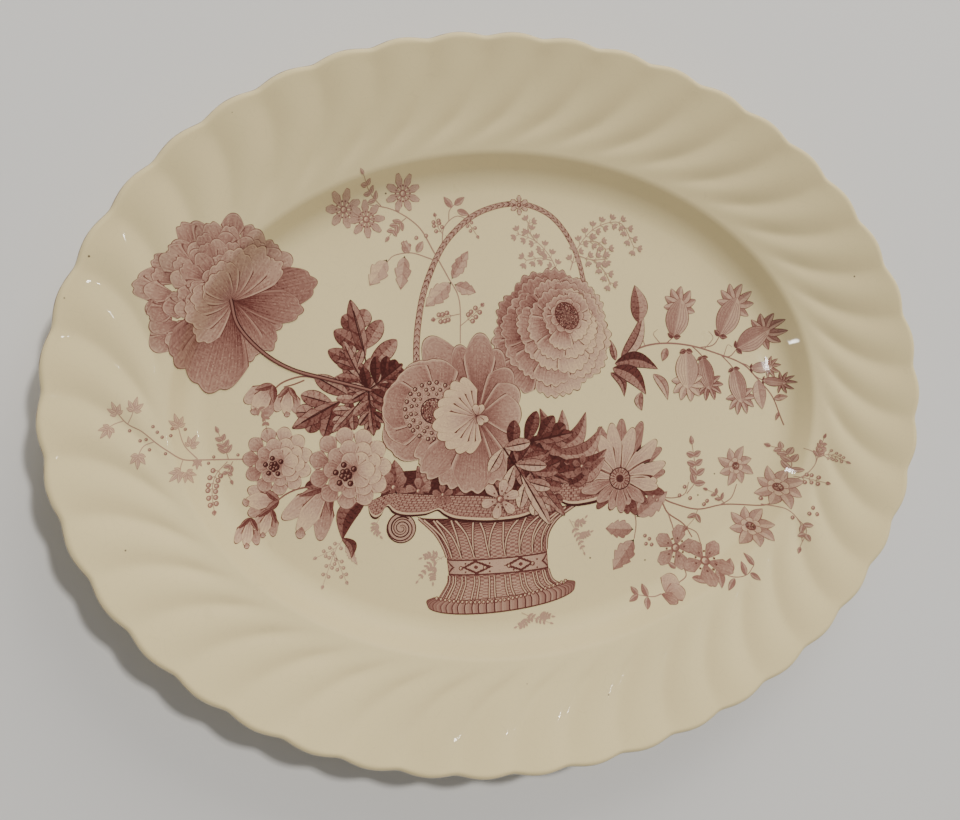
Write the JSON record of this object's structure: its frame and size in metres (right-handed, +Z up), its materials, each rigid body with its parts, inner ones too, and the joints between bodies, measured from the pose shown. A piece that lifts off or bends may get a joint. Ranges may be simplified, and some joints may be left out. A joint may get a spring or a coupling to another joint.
{
  "type": "serving platter",
  "caption": "Large oval serving platter with a swirl-fluted rim, scalloped edge, shallow oval well, foot ring and a printed flower basket.",
  "frame": {"origin": "middle of the footprint, on the plane that the foot ring rests on", "axes": "+X along the long axis, +Y along the short axis towards the top of the printed basket, +Z up out of the well"},
  "size_m": [0.356, 0.29, 0.032],
  "materials": {
    "glaze": "glossy ivory glaze with fine crazing and a few dark specks",
    "ink": "dusty rose transfer ink under the glaze, glossy",
    "ink_dark": "dark rose transfer ink under the glaze, glossy",
    "ink_pale": "pale rose transfer ink under the glaze, glossy"
  },
  "bodies": {
    "root": {"platter_body": "glaze", "print_poppy_centre": "ink", "print_ranunculus": "ink", "print_daisy_right": "ink", "print_double_roses_left": "ink", "print_peony_left": "ink", "print_leaves_centre": "ink_dark", "print_basket": "ink_dark", "print_basket_handle": "ink", "print_leaves_left": "ink_dark", "print_rosebuds_left": "ink", "print_bellflowers_right": "ink", "print_lance_leaves_right": "ink_dark", "print_star_blossoms_right": "ink", "print_blossoms_lower_right": "ink", "print_sprig_top_left": "ink_pale", "print_sprigs_handle": "ink_pale", "print_fern_top_right": "ink_pale", "print_vine_left": "ink_pale", "print_sprigs_lower": "ink_pale"}
  },
  "joints": []
}
